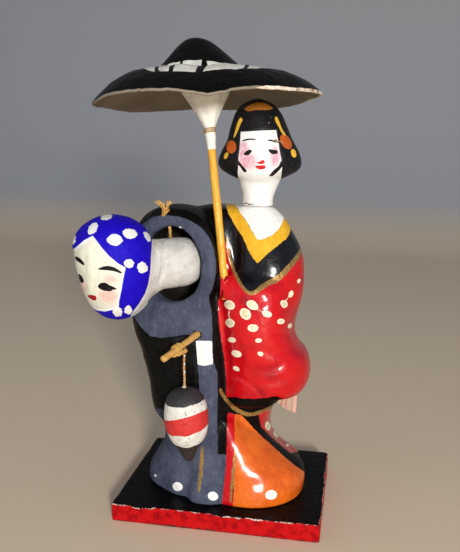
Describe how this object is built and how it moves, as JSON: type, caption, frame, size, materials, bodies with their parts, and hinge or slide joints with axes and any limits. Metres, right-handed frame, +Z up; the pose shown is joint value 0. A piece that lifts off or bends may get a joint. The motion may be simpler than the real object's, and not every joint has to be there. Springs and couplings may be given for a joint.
{
  "type": "papier-mache figure",
  "caption": "Painted papier-mache figure of a bent man with a lantern and a woman who holds a parasol over them, on a flat wooden board",
  "frame": {"origin": "the middle of the board's underside", "axes": "+Z up, +X to the woman's side along the board's long edges, +Y from the front with the faces to the back"},
  "size_m": [0.1351, 0.1213, 0.2603],
  "materials": {
    "board_wood": "brush-painted wood, black on top and red on the sides, with specks of glitter",
    "robe_paint": "painted papier-mache, matt grey-blue and lacquered red, black and orange",
    "white_paint": "white ground on papier-mache, with painted faces, hair and a dotted head-scarf",
    "black_paint": "brushed black on papier-mache, with a white band, and plain grey-white beneath",
    "white_paper": "white painted paper, the lantern with black and red bands",
    "yellow_paint": "thin stick with yellow paint",
    "twine": "twisted brown paper twine and thread",
    "sleeve_paper": "beige paper with red brush strokes"
  },
  "bodies": {
    "root": {"board": "board_wood", "robes": "robe_paint", "woman_head": "white_paint", "man_head": "white_paint", "head_cord": "twine", "parasol_canopy": "black_paint", "parasol_funnel": "white_paper", "parasol_binding": "twine", "parasol_pole": "yellow_paint", "lantern_rod": "yellow_paint", "lantern_cord": "twine", "lantern": "white_paper", "sleeve_flap": "sleeve_paper"}
  },
  "joints": []
}
